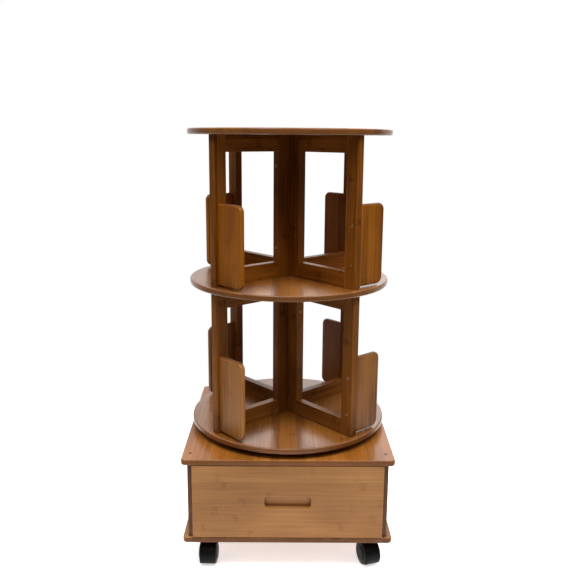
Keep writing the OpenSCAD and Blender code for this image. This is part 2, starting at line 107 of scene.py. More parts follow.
class Pattern(IntEnum):
    """First number of the grain patterns of each kind of board."""

    SHELF = 1
    DOUBLE_FRAME = 20
    SINGLE_FRAME = 40
    BOOKEND = 80
    BASE_TOP = 130
    BOTTOM_PANEL = 133
    SIDE_PANEL = 136
    BACK_PANEL = 139
    DRAWER_FRONT = 145
    DRAWER_BOX = 150
    DRAWER_FLOOR = 158


def linear(code: str) -> tuple[float, float, float, float]:
    """Turns an sRGB hex colour into linear red, green, blue and full alpha.

    Args:
        code: colour such as "#a07148".

    Returns:
        The linear colour with alpha 1.
    """
    parts = [int(code[i:i + 2], 16) / 255 for i in (1, 3, 5)]
    red, green, blue = [p / 12.92 if p <= 0.04045 else ((p + 0.055) / 1.055) ** 2.4 for p in parts]
    return red, green, blue, 1.0


def feed(tree: bpy.types.NodeTree, node: bpy.types.Node, inputs: dict) -> None:
    """Sets or links inputs of a shader node.

    Args:
        tree: tree that the node is in.
        node: the node.
        inputs: for each input, by name or number, a value, or the socket or node that feeds it.
            A node feeds it from its first output.
    """
    for key, value in inputs.items():
        if isinstance(value, bpy.types.Node):
            value = value.outputs[0]
        if isinstance(value, bpy.types.NodeSocket):
            tree.links.new(value, node.inputs[key])
        else:
            node.inputs[key].default_value = value


def add(
    tree: bpy.types.NodeTree,
    kind: str,
    inputs: Optional[dict] = None,
    **settings: object,
) -> bpy.types.Node:
    """Adds one shader node with its settings, values and links.

    Args:
        tree: tree that the node goes into.
        kind: Blender's name for the node type, without its ShaderNode prefix.
        inputs: for each input, by name or number, a value, or the socket or node that feeds it.
            A node feeds it from its first output.
        settings: properties of the node.

    Returns:
        The new node.
    """
    node = tree.nodes.new("ShaderNode" + kind)
    for name, value in settings.items():
        setattr(node, name, value)
    feed(tree, node, inputs or {})
    return node


def fresh_material(name: str) -> tuple[bpy.types.Material, bpy.types.NodeTree, bpy.types.Node]:
    """Makes an empty material.

    Args:
        name: name of the material.

    Returns:
        The material, its node tree and its principled shader.
    """
    material = bpy.data.materials.new(name)
    material.use_nodes = True
    tree = material.node_tree
    tree.nodes.clear()
    shader = add(tree, "BsdfPrincipled")
    add(tree, "OutputMaterial", {"Surface": shader})
    return material, tree, shader


@dataclass(frozen=True)
class Bamboo:
    """Laminated bamboo under satin lacquer: strips of their own tone, long fibres and dark growth rings."""

    name: str
    dark: str
    middle: str
    light: str
    strip_mm: float = 19.0
    ring_pitch_mm: float = 300.0
    ring_core_mm: float = 1.05
    ring_fade_mm: float = 11.2
    strip_contrast: float = 0.34
    ring_contrast: float = 0.3
    fibre_contrast: float = 0.2
    stain_contrast: float = 0.14
    ends: str = "#4e2b0e"
    ends_stain: float = 0.8
    ends_lacquer: float = 0.15
    roughness: float = 0.4
    specular: float = 0.2
    lacquer: float = 0.1
    lacquer_roughness: float = 0.22
    relief_mm: float = 0.2

    def build(self) -> bpy.types.Material:
        """Builds the material on the boards' grain attributes.

        Returns:
            The finished material.
        """
        material, tree, shader = fresh_material(self.name)
        grain = add(tree, "Attribute", attribute_name=GRAIN, attribute_type="GEOMETRY").outputs["Vector"]
        along, across, through = add(tree, "SeparateXYZ", {0: grain}).outputs
        # inputs 1 to 4 of a MapRange are the ends of the range that it reads and of the one that it gives
        # each strip has its own tone and its own start along the culm
        strip = add(tree, "Math", {0: across, 1: 1 / self.strip_mm}, operation="MULTIPLY")
        number = add(tree, "Math", {0: strip}, operation="FLOOR")
        chance = add(tree, "TexWhiteNoise", {"W": number}, noise_dimensions="1D")
        start = add(tree, "Math", {0: chance, 1: STRIP_START, 2: along}, operation="MULTIPLY_ADD")
        lengths = add(tree, "CombineXYZ", {0: start, 1: across, 2: through})
        noises = []
        for place, waves, detail, rough in (
            (lengths, FIBRES, 3.0, 0.6),
            (lengths, THREADS, 2.0, 0.5),
            (lengths, SMUDGES, 3.0, 0.5),
            (grain, STAINS, 1.0, 0.5),
        ):
            spread = add(tree, "VectorMath", {0: place, 1: waves}, operation="MULTIPLY")
            values = {"Vector": spread, "Scale": 1.0, "Detail": detail, "Roughness": rough}
            noises.append(add(tree, "TexNoise", values))
        fibre, thread, smudge, stain = noises
        # tone of a point: its strip's own, with fibres, uneven stain and growth rings on top
        tone = add(tree, "Math", {0: chance, 1: self.strip_contrast, 2: 0.5 - self.strip_contrast / 2},
                   operation="MULTIPLY_ADD")
        for noise, swing in (
            (fibre, self.fibre_contrast),
            (thread, self.fibre_contrast / 2),
            (stain, self.stain_contrast),
        ):
            shift = add(tree, "MapRange", {0: noise, 1: 0.3, 2: 0.7, 3: -swing, 4: swing})
            tone = add(tree, "Math", {0: tone, 1: shift}, operation="ADD")
        rings = self.rings(tree, start, smudge)
        tone = add(tree, "Math", {0: rings, 1: -self.ring_contrast, 2: tone}, operation="MULTIPLY_ADD")
        ramp = add(tree, "ValToRGB", {0: tone})
        stops = ramp.color_ramp.elements
        stops[0].position, stops[0].color = 0.12, linear(self.dark)
        stops[1].position, stops[1].color = 0.88, linear(self.light)
        stops.new(0.5).color = linear(self.middle)
        # faces that cut across the fibres soak up stain and lacquer, and are darker and duller
        cut = add(tree, "Attribute", attribute_name=CUT, attribute_type="GEOMETRY").outputs["Fac"]
        soaked = add(tree, "MapRange", {0: cut, 1: 0.5, 2: 0.95, 3: 0.0, 4: self.ends_stain})
        colours = {"Fac": soaked, "Color1": ramp, "Color2": linear(self.ends)}
        dull = self.lacquer * self.ends_lacquer
        low, high = self.roughness - 0.06, self.roughness + 0.08
        shine = add(tree, "MapRange", {0: cut, 1: 0.5, 2: 0.95, 3: self.lacquer, 4: dull})
        bump = add(tree, "Bump", {"Strength": 0.25, "Distance": self.relief_mm * MM, "Height": thread})
        feed(tree, shader, {
            "Base Color": add(tree, "MixRGB", colours),
            "Roughness": add(tree, "MapRange", {0: thread, 1: 0.2, 2: 0.8, 3: low, 4: high}),
            "Normal": bump,
            "Coat Weight": shine,
            "Coat Roughness": self.lacquer_roughness,
            "Specular IOR Level": self.specular,
        })
        return material

    def rings(
        self,
        tree: bpy.types.NodeTree,
        start: bpy.types.Node,
        smudge: bpy.types.Node,
    ) -> bpy.types.Node:
        """Marks the culm's growth rings: in each strip one dark, smudged band per ring pitch.

        Args:
            tree: the material's node tree.
            start: node that gives the place along each strip, in millimetres.
            smudge: noise that breaks up the bands.

        Returns:
            The node that gives the strength of the mark, from 0 to 1.
        """
        turn = add(tree, "Math", {0: start, 1: 1 / self.ring_pitch_mm}, operation="MULTIPLY")
        part = add(tree, "Math", {0: turn}, operation="FRACT")
        offset = add(tree, "Math", {0: part, 1: 0.5}, operation="SUBTRACT")
        distance = add(tree, "Math", {0: offset}, operation="ABSOLUTE")
        core, fade = self.ring_core_mm / self.ring_pitch_mm, self.ring_fade_mm / self.ring_pitch_mm
        band = add(tree, "MapRange", {0: distance, 1: core, 2: fade, 3: 1.0, 4: 0.0},
                   interpolation_type="SMOOTHSTEP")
        patchy = add(tree, "MapRange", {0: smudge, 1: 0.38, 2: 0.62})
        return add(tree, "Math", {0: band, 1: patchy}, operation="MULTIPLY")


@dataclass(frozen=True)
class Moulded:
    """Injection-moulded plastic: one colour with a fine spark-eroded grain and slight sheen changes."""

    name: str
    colour: str
    worn: str
    roughness: float
    specular: float = 0.1
    grit_mm: float = 0.9
    cloud_mm: float = 22.0
    relief_mm: float = 0.1

    def build(self) -> bpy.types.Material:
        """Builds the material on Object coordinates.

        Returns:
            The finished material.
        """
        material, tree, shader = fresh_material(self.name)
        place = add(tree, "TexCoord").outputs["Object"]
        grain = {"Vector": place, "Scale": 1 / (self.grit_mm * MM), "Detail": 2.0}
        grit = add(tree, "TexNoise", grain)
        wide = {"Vector": place, "Scale": 1 / (self.cloud_mm * MM), "Detail": 3.0}
        cloud = add(tree, "TexNoise", wide)
        ramp = add(tree, "ValToRGB", {0: cloud})
        stops = ramp.color_ramp.elements
        stops[0].position, stops[0].color = 0.35, linear(self.colour)
        stops[1].position, stops[1].color = 0.75, linear(self.worn)
        low, high = self.roughness - 0.06, self.roughness + 0.06
        bump = add(tree, "Bump", {"Strength": 0.2, "Distance": self.relief_mm * MM, "Height": grit})
        feed(tree, shader, {
            "Base Color": ramp,
            "Roughness": add(tree, "MapRange", {0: cloud, 1: 0.3, 2: 0.7, 3: low, 4: high}),
            "Normal": bump,
            "Specular IOR Level": self.specular,
        })
        return material


@dataclass(frozen=True)
class Metal:
    """Bare or plated metal: bright base with fine tool marks and cloudy roughness."""

    name: str
    colour: str
    dull: str
    roughness: float
    mark_mm: float = 1.2
    cloud_mm: float = 9.0
    relief_mm: float = 0.05

    def build(self) -> bpy.types.Material:
        """Builds the material on Object coordinates.

        Returns:
            The finished material.
        """
        material, tree, shader = fresh_material(self.name)
        place = add(tree, "TexCoord").outputs["Object"]
        wide = {"Vector": place, "Scale": 1 / (self.cloud_mm * MM), "Detail": 4.0}
        cloud = add(tree, "TexNoise", wide)
        fine = {"Vector": place, "Scale": 1 / (self.mark_mm * MM), "Detail": 2.0}
        marks = add(tree, "TexNoise", fine)
        ramp = add(tree, "ValToRGB", {0: cloud})
        stops = ramp.color_ramp.elements
        stops[0].position, stops[0].color = 0.3, linear(self.dull)
        stops[1].position, stops[1].color = 0.7, linear(self.colour)
        low, high = self.roughness - 0.07, self.roughness + 0.09
        bump = add(tree, "Bump", {"Strength": 0.1, "Distance": self.relief_mm * MM, "Height": marks})
        feed(tree, shader, {
            "Base Color": ramp,
            "Roughness": add(tree, "MapRange", {0: marks, 1: 0.25, 2: 0.75, 3: low, 4: high}),
            "Normal": bump,
            "Metallic": 1.0,
        })
        return material


class Finishes:
    """Every finish of the bookcase, built once."""

    def __init__(self) -> None:
        """Builds the materials."""
        # carbonised bamboo under gloss lacquer: the shelves mirror the room softly
        self.shelf = Bamboo("caramel bamboo, shelves", "#5a330d", "#7c4a19", "#936028", ends="#6a3d15",
                            specular=0.3, lacquer=0.5, lacquer_roughness=0.2).build()
        # carbonised bamboo, rubbed thin: the frames look deep brown and almost matt; the two tiers are copies
        # of one bamboo, the upper copy painted lighter and more orange than the lower one: painted light on
        # the upper frames
        self.frames = {
            Tier.UPPER: Bamboo("deep caramel bamboo, upper frames", "#532b06", "#7e4711", "#9e5f1f",
                               specular=0.12, lacquer=0.05).build(),
            Tier.LOWER: Bamboo("deep caramel bamboo, lower frames", "#4f2b09", "#764516", "#935d24",
                               specular=0.15, lacquer=0.06).build(),
        }
        # straight upright grain with few rings: the lower boards have a soft sheen; the upper copy is a
        # deeper orange and the lower copy duller, as painted light and shade on the two tiers
        self.bookends = {
            Tier.UPPER: Bamboo("caramel bamboo, upper bookends", "#683504", "#8c500c", "#a3651a",
                               ring_contrast=0.12, specular=0.15, lacquer=0.08).build(),
            Tier.LOWER: Bamboo("caramel bamboo, lower bookends", "#63370e", "#885521", "#a16b34",
                               ring_contrast=0.12, lacquer=0.35, lacquer_roughness=0.3).build(),
        }
        # amber strips under the clearest lacquer of the object
        self.top = Bamboo("amber bamboo, base top", "#744210", "#8e5419", "#a66c2d", strip_contrast=0.3,
                          ring_contrast=0.2, ends="#653911", specular=0.25, lacquer=0.3,
                          lacquer_roughness=0.16).build()
        self.case = Bamboo("caramel bamboo, case", "#6e431d", "#8a592c", "#a57244", ends="#4c2b12").build()
        # paler bamboo for the drawer: even strips on its front, no lacquer on the box
        self.drawer = Bamboo("honey bamboo, drawer front", "#7a4f25", "#956535", "#ab7a46",
                             strip_contrast=0.24, ring_contrast=0.2, fibre_contrast=0.14,
                             ends="#6a4422").build()
        # the inner front, seen through the finger slot, is painted lighter than the drawer front: painted
        # light in the slot's shade
        self.inner_front = Bamboo("pale honey bamboo, inner front", "#8f5e30", "#b07945", "#c89258",
                                  ends="#8a6238").build()
        self.box = Bamboo("plain bamboo, drawer box", "#97693c", "#b48a5c", "#c9a274", ends="#8a6238",
                          lacquer=0.0, roughness=0.55).build()
        # black polyamide: hardly any gloss, with the wheels a little smoother than the hoods
        self.hood = Moulded("black polyamide, moulded hood", "#030303", "#060606", 0.42).build()
        self.wheel = Moulded("black polyamide, wheel", "#020202", "#050505", 0.36).build()
        self.cage = Moulded("black polyamide, ball cage", "#242424", "#303030", 0.5).build()
        # plated heads are olive to yellow, browned ones nearly vanish in the wood, and bearings are bright
        self.screw = Metal("yellow-passivated zinc plate, screws", "#b9ae7c", "#8f8558", 0.45).build()
        self.case_screw = Metal("browned steel, case screws", "#4b3a2c", "#33271d", 0.5).build()
        self.bearing = Metal("bearing steel, polished", "#c2c5c8", "#a9adb1", 0.18).build()
        self.ring = Metal("mill aluminium, turntable rings", "#cdd0d3", "#b3b7bb", 0.34).build()


def runs_along(edge: bmesh.types.BMEdge, axis: Vector) -> bool:
    """Says whether an edge's ends lie more than 1 mm apart along an axis."""
    first, last = edge.verts
    return abs((last.co - first.co).dot(axis)) > MM


class Shape:
    """A mesh under construction, with the grain attributes in place from the start."""

    def __init__(self) -> None:
        """Starts an empty mesh."""
        self.bm = bmesh.new()
        self.find_layers()

    def find_layers(self) -> None:
        """Finds or makes the face-corner attributes."""
        corners = self.bm.loops.layers
        self.layer = corners.float_vector.get(GRAIN) or corners.float_vector.new(GRAIN)
        self.cut = corners.float.get(CUT) or corners.float.new(CUT)

    def lay(
        self,
        along: Vector,
        across: Vector,
        seed: int,
        wanted: Callable[[Vector], bool] = lambda centre: True,
    ) -> None:
        """Writes the grain coordinates of one board.

        Args:
            along: direction of the fibres.
            across: direction across the strips.
            seed: number that sets this board's pattern apart from the others.
            wanted: test of a face's centre that says whether the face is on this board.
        """
        axes = (along, across, along.cross(across))
        shift = PATTERN_STEP * seed
        self.find_layers()
        self.bm.normal_update()
        for face in self.bm.faces:
            if not wanted(face.calc_center_median()):
                continue
            for loop in face.loops:
                place = loop.vert.co / MM
                loop[self.cut] = abs(face.normal.dot(along))
                loop[self.layer] = Vector([place.dot(axis) for axis in axes]) + shift

    def round_edges(self, edges: Iterable[bmesh.types.BMEdge], radius_mm: float, segments: int = 3) -> None:
        """Rounds edges.

        Args:
            edges: the edges to round.
            radius_mm: radius of the rounding.
            segments: number of faces across it.
        """
        bmesh.ops.bevel(self.bm, geom=list(edges), offset=radius_mm * MM, offset_type="OFFSET",
                        segments=segments, profile=0.5, affect="EDGES", material=-1, clamp_overlap=True)

    def sharp_edges(
        self,
        wanted: Callable[[bmesh.types.BMEdge], bool] = lambda edge: True,
    ) -> list[bmesh.types.BMEdge]:
        """Finds edges that are still square.

        Args:
            wanted: further test of an edge.

        Returns:
            The square edges that pass the test.
        """
        self.bm.normal_update()
        closed = [e for e in self.bm.edges if e.is_manifold]
        return [e for e in closed if e.calc_face_angle() > SQUARE_ANGLE and wanted(e)]

    def block(self, low: Vector, high: Vector) -> None:
        """Adds a box.

        Args:
            low: lowest corner, in millimetres.
            high: highest corner, in millimetres.
        """
        size = (high - low) * MM
        place = Matrix.Translation((low + high) * 0.5 * MM) @ Matrix.Diagonal((*size, 1.0))
        bmesh.ops.create_cube(self.bm, size=1.0, matrix=place)

    def thicken(self, way: Vector) -> None:
        """Grows the faces drawn so far into a solid.

        Args:
            way: direction and thickness, in millimetres.
        """
        grown = bmesh.ops.extrude_face_region(self.bm, geom=self.bm.faces[:])
        moved = [item for item in grown["geom"] if isinstance(item, bmesh.types.BMVert)]
        bmesh.ops.translate(self.bm, verts=moved, vec=way * MM)
        bmesh.ops.recalc_face_normals(self.bm, faces=self.bm.faces[:])

    def lattice(
        self,
        columns: list[float],
        rows: list[float],
        holes: list[tuple[int, int]],
        depth: tuple[float, float],
    ) -> None:
        """Adds an upright panel with square holes, from a grid of cells in the XZ plane.

        Args:
            columns: the X places of the grid lines, in millimetres.
            rows: the Z places of the grid lines, in millimetres.
            holes: column and row of each cell that is left open.
            depth: lowest and highest Y of the panel, in millimetres.
        """
        across, up = len(columns) - 1, len(rows) - 1
        bmesh.ops.create_grid(self.bm, x_segments=across, y_segments=up, size=0.5)
        open_cells = []
        for face in self.bm.faces:
            centre = face.calc_center_median()
            cell = (int((centre.x + 0.5) * across), int((centre.y + 0.5) * up))
            if cell in holes:
                open_cells.append(face)
        for vert in self.bm.verts:
            column, row = round((vert.co.x + 0.5) * across), round((vert.co.y + 0.5) * up)
            vert.co = Vector((columns[column], depth[0], rows[row])) * MM
        bmesh.ops.delete(self.bm, geom=open_cells, context="FACES")
        self.thicken(AXIS_Y * (depth[1] - depth[0]))

    def turned(self, outline: list[tuple[float, float]], steps: int) -> None:
        """Adds a solid turned about the Z axis.

        Args:
            outline: radius and height of each point of the half section, from axis to axis, in millimetres.
            steps: number of steps in the full turn.
        """
        verts = [self.bm.verts.new((r * MM, 0.0, z * MM)) for r, z in outline]
        edges = [self.bm.edges.new(pair) for pair in zip(verts, verts[1:])]
        bmesh.ops.spin(self.bm, geom=verts + edges, cent=(0, 0, 0), axis=AXIS_Z, angle=2 * math.pi,
                       steps=steps, use_merge=True)
        bmesh.ops.remove_doubles(self.bm, verts=self.bm.verts[:], dist=1e-6)
        bmesh.ops.recalc_face_normals(self.bm, faces=self.bm.faces[:])

    def place(self, matrix: Matrix) -> None:
        """Moves the whole mesh."""
        bmesh.ops.transform(self.bm, matrix=matrix, verts=self.bm.verts[:])

    def join(self, other: "Shape", matrix: Optional[Matrix] = None) -> None:
        """Adds a copy of another shape.

        Args:
            other: the shape to add, which is kept.
            matrix: where the copy goes.
        """
        carrier = bpy.data.meshes.new("carrier")
        other.bm.to_mesh(carrier)
        if matrix is not None:
            carrier.transform(matrix)
        self.bm.from_mesh(carrier)
        bpy.data.meshes.remove(carrier)
        self.find_layers()

    def piece(
        self,
        name: str,
        material: bpy.types.Material,
        body: str,
        nodes: Iterable[str],
        slot: str,
    ) -> None:
        """Turns the mesh into a finished piece of the bookcase, in place and riding on its body.

        Args:
            name: name of the piece.
            material: its finish.
            body: the moving body that carries it.
            nodes: the construction nodes that it stands for.
            slot: the record's material slot; not used.
        """
        mesh = bpy.data.meshes.new(name)
        self.bm.to_mesh(mesh)
        self.bm.free()
        mesh.materials.append(material)
        mesh.shade_smooth()
        mesh.set_sharp_from_angle(angle=SMOOTH_ANGLE)
        piece = bpy.data.objects.new(name, mesh)
        bpy.context.scene.collection.objects.link(piece)
        even = piece.modifiers.new("even shading", "WEIGHTED_NORMAL")
        even.keep_sharp = True
        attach(piece, body)
        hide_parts(*nodes)
        LOG.info("%s: %d faces, rides on %s", name, len(mesh.polygons), body)


def plain_board(low: Vector, high: Vector, along: Vector, seed: int) -> Shape:
    """Builds a straight upright board with softened edges.

    Args:
        low: lowest corner, in millimetres.
        high: highest corner, in millimetres.
        along: direction of its fibres.
        seed: number of its grain pattern.

    Returns:
        The board's mesh.
    """
    softened_mm = 0.8
    made = Shape()
    made.block(low, high)
    made.round_edges(made.sharp_edges(), softened_mm)
    made.lay(along, AXIS_Z, seed)
    return made


def dress_node(node: str, material: bpy.types.Material) -> None:
    """Gives a construction node its finish.

    Args:
        node: name of the node.
        material: the finish.
    """
    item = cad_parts[node]
    if not item.material_slots:
        item.data.materials.append(material)
    for slot in item.material_slots:
        slot.material = material
    LOG.info("%s: dressed with %s", node, material.name)


@dataclass(frozen=True)
class Screw:
    """Countersunk fastener with a round driver socket, pointing down from its head. Sizes in millimetres."""

    length: float
    shank: float = 3.5
    head: float = 7.0
    proud: float = 0.25
    tip_bevel: float = 0.6
    lip: float = 0.15
    steps: int = 24

    def shape(self) -> Shape:
        """Builds the fastener with its head at the origin.

        Returns:
            The fastener's mesh.
        """
        slope = (self.head - self.shank) / 2
        socket = self.head * 0.22
        made = Shape()
        made.turned([
            (0.0, -self.length),
            (self.shank * 0.42, -self.length),
            (self.shank / 2, -self.length + self.tip_bevel),
            (self.shank / 2, -slope),
            (self.head / 2, 0.0),
            (self.head / 2 - self.lip, self.proud),
            (socket + self.lip, self.proud),
            (socket, self.proud - 0.2),
            (socket * 0.85, -slope * 0.7),
            (0.0, -slope * 0.8),
        ], self.steps)
        return made

    def copies(self, places: Iterable[Matrix]) -> Shape:
        """Builds one mesh from copies of the fastener.

        Args:
            places: where each copy goes, in millimetres.

        Returns:
            The mesh of all copies.
        """
        pattern = self.shape()
        made = Shape()
        for place in places:
            spot = place.copy()
            spot.translation = place.translation * MM
            made.join(pattern, spot)
        pattern.bm.free()
        return made


@dataclass
class Tower:
    """The turning part: three shelves, windowed frames and bookend boards. Sizes in millimetres."""

    finishes: Finishes
    shelf_d: float = 458.0
    shelf_t: float = 13.5
    shelf_edge_r: float = 4.0
    shelf_facets: int = 192
    rest_turn: float = -3.4
    frame_t: float = 18.0
    stile_w: float = 32.0
    rail_h: float = 36.0
    frame_inset: float = 10.5
    frame_end_r: float = 3.0
    frame_edge_r: float = 1.0
    tier_h: float = 320.0
    lower_shelf_z: float = 272.5
    bookend_w: float = 78.0
    bookend_h: float = 176.0
    bookend_t: float = 12.0
    bookend_corner_r: float = 15.0
    bookend_edge_r: float = 4.5
    bookend_lift: float = 3.0
    bookend_inset: float = 8.0
    bolt: Screw = Screw(45.5, shank=6.0, head=12.0)
    bookend_screw: Screw = Screw(40.0)
    bookend_screw_rises: tuple[float, float] = (50.0, 134.0)
    centre_screw: Screw = Screw(48.25)
    centre_screw_rises: tuple[tuple[float, float], ...] = ((68.0, 252.0), (80.0, 240.0))

    def __post_init__(self) -> None:
        """Works out the places that several pieces share."""
        self.frame_out = self.shelf_d / 2 - self.frame_inset
        self.core = self.frame_t / 2 + self.stile_w
        self.window_out = self.frame_out - self.stile_w
        self.lower_z = self.lower_shelf_z + self.shelf_t
        self.middle_shelf_z = self.lower_z + self.tier_h
        self.upper_z = self.middle_shelf_z + self.shelf_t
        self.top_shelf_z = self.upper_z + self.tier_h

    def turn(self, quadrant: Quadrant) -> Matrix:
        """Gives the turn that brings +X onto a diagonal."""
        return Matrix.Rotation(math.radians(45 + 90 * quadrant.value + self.rest_turn), 4, "Z")

    def tier_z(self, tier: Tier) -> float:
        """Gives the height of a tier's floor."""
        return self.upper_z if tier is Tier.UPPER else self.lower_z

    def single_quadrants(self, tier: Tier) -> list[Quadrant]:
        """Gives the diagonals on which a tier has single frames.

        Args:
            tier: the tier.

        Returns:
            Its two diagonals.
        """
        if tier is Tier.UPPER:
            return [Quadrant.FRONT_LEFT, Quadrant.BACK_RIGHT]
        return [Quadrant.FRONT_RIGHT, Quadrant.BACK_LEFT]

    def build(self) -> None:
        """Builds every piece of the tower."""
        shelves = {
            "lower_shelf": self.lower_shelf_z,
            "middle_shelf": self.middle_shelf_z,
            "top_shelf": self.top_shelf_z,
        }
        for seed, (name, z) in enumerate(shelves.items(), Pattern.SHELF):
            self.shelf(name, z, seed)
        for tier in Tier:
            self.double_frame(tier)
            for quadrant in self.single_quadrants(tier):
                self.single_frame(tier, quadrant)
            for quadrant in Quadrant:
                self.bookend(tier, quadrant)
        self.fasteners()

    def shelf(self, name: str, z: float, seed: int) -> None:
        """Builds one round shelf with a rounded rim.

        Args:
            name: name of the shelf's node.
            z: height of its underside.
            seed: number of its grain pattern.
        """
        made = Shape()
        bmesh.ops.create_circle(made.bm, cap_ends=True, segments=self.shelf_facets,
                                radius=self.shelf_d / 2 * MM, matrix=Matrix.Translation(AXIS_Z * z * MM))
        made.thicken(AXIS_Z * self.shelf_t)
        made.round_edges(made.sharp_edges(), self.shelf_edge_r, segments=5)
        made.lay(AXIS_Y, AXIS_X, seed)
        made.piece(name + "_board", self.finishes.shelf, "tower", [name], "shelf_bamboo")

    def frame_shape(self, tier: Tier, columns: list[float], holes: list[tuple[int, int]], seed: int) -> Shape:
        """Builds a windowed frame that lies along +X.

        Args:
            tier: the tier it stands in.
            columns: the X places of its ends and of its windows' sides.
            holes: the grid cells of its windows.
            seed: number of its first grain pattern.

        Returns:
            The frame's mesh.
        """
        low = self.tier_z(tier)
        rows = [low, low + self.rail_h, low + self.tier_h - self.rail_h, low + self.tier_h]
        made = Shape()
        made.lattice(columns, rows, holes, (-self.frame_t / 2, self.frame_t / 2))
        end = (self.frame_out - NEAR) * MM
        ends = made.sharp_edges(lambda e: runs_along(e, AXIS_Z) and all(abs(v.co.x) > end for v in e.verts))
        made.round_edges(ends, self.frame_end_r, segments=4)
        made.round_edges(made.sharp_edges(lambda e: e.is_convex), self.frame_edge_r)
        made.lay(AXIS_X, AXIS_Z, seed)
        for number, (left, right) in enumerate(zip(columns[0::2], columns[1::2]), 1):
            made.lay(AXIS_Z, AXIS_X, seed + number,
                     lambda c, left=left, right=right: (left - NEAR) * MM < c.x < (right + NEAR) * MM)
        return made

    def double_frame(self, tier: Tier) -> None:
        """Builds the full-width frame of a tier.

        Args:
            tier: the tier it stands in.
        """
        quadrant = Quadrant.FRONT_RIGHT if tier is Tier.UPPER else Quadrant.FRONT_LEFT
        columns = [-self.frame_out, -self.window_out, -self.core, self.core, self.window_out, self.frame_out]
        seed = Pattern.DOUBLE_FRAME + FRAME_PATTERNS * (tier is Tier.UPPER)
        made = self.frame_shape(tier, columns, [(1, 1), (3, 1)], seed)
        made.place(self.turn(quadrant))
        name = tier.value + "_double_frame"
        made.piece(name + "_board", self.finishes.frames[tier], "tower", [name], "frame_bamboo")

    def single_frame(self, tier: Tier, quadrant: Quadrant) -> None:
        """Builds a frame that butts against the double frame of its tier.

        Args:
            tier: the tier it stands in.
            quadrant: the diagonal it stands on.
        """
        columns = [self.frame_t / 2, self.core, self.window_out, self.frame_out]
        seed = Pattern.SINGLE_FRAME + FRAME_PATTERNS * quadrant.value
        made = self.frame_shape(tier, columns, [(1, 1)], seed)
        made.place(self.turn(quadrant))
        name = f"{tier.value}_frame_{quadrant.name.lower()}"
        made.piece(name + "_board", self.finishes.frames[tier], "tower", [name], "frame_bamboo")

    def bookend(self, tier: Tier, quadrant: Quadrant) -> None:
        """Builds the board across the outer end of a frame, with its free corners rounded.

        Args:
            tier: the tier it stands in.
            quadrant: the diagonal of its frame.
        """
        low = self.tier_z(tier) + self.bookend_lift
        outer = self.frame_out - self.bookend_inset
        start = self.frame_t / 2
        end = start + self.bookend_w
        made = Shape()
        made.block(Vector((outer - self.bookend_t, start, low)), Vector((outer, end, low + self.bookend_h)))
        free = (end - NEAR) * MM
        corners = [e for e in made.bm.edges if runs_along(e, AXIS_X) and all(v.co.y > free for v in e.verts)]
        made.round_edges(corners, self.bookend_corner_r, segments=12)
        joint = (start + NEAR) * MM
        seen = made.sharp_edges(lambda e: any(v.co.y >= joint for v in e.verts))
        made.round_edges(seen, self.bookend_edge_r, segments=6)
        seed = Pattern.BOOKEND + BOOKEND_PATTERNS * quadrant.value
        made.lay(AXIS_Z, AXIS_Y, seed + TIER_PATTERNS * (tier is Tier.UPPER))
        made.place(self.turn(quadrant))
        name = f"{tier.value}_bookend_{quadrant.name.lower()}"
        made.piece(name + "_board", self.finishes.bookends[tier], "tower", [name], "bookend_bamboo")

    def fasteners(self) -> None:
        """Builds the fasteners of the shelves, the bookend boards and the frames, and dresses the studs."""
        radii = [self.core - self.stile_w / 2, self.frame_out - self.stile_w / 2]
        top = self.top_shelf_z + self.shelf_t
        over = [self.turn(q) @ Matrix.Translation((r, 0, top)) for q in Quadrant for r in radii]
        under = [self.turn(q) @ Matrix.Translation((r, 0, self.lower_shelf_z)) @ UPSIDE_DOWN
                 for q in Quadrant for r in radii]
        middle = self.frame_out - self.bookend_inset - self.bookend_t / 2
        face_on = Matrix.Rotation(math.pi / 2, 4, "X")
        sides = [self.turn(q) @ Matrix.Translation((middle, -self.frame_t / 2, self.tier_z(t) + z)) @ face_on
                 for t in Tier for q in Quadrant for z in self.bookend_screw_rises]
        inward = Matrix.Rotation(math.pi / 2, 4, "Y")
        centres = [self.turn(q) @ Matrix.Translation((self.core, 0, self.tier_z(t) + z)) @ inward
                   for t in Tier for q, rises in zip(self.single_quadrants(t), self.centre_screw_rises)
                   for z in rises]
        for name, screw, places in (
            ("top_shelf_bolts", self.bolt, over),
            ("lower_shelf_bolts", self.bolt, under),
            ("bookend_screws", self.bookend_screw, sides),
            ("centre_screws", self.centre_screw, centres),
        ):
            screw.copies(places).piece(name + "_set", self.finishes.screw, "tower", [name], "screw_steel")
        dress_node("middle_shelf_studs", self.finishes.screw)


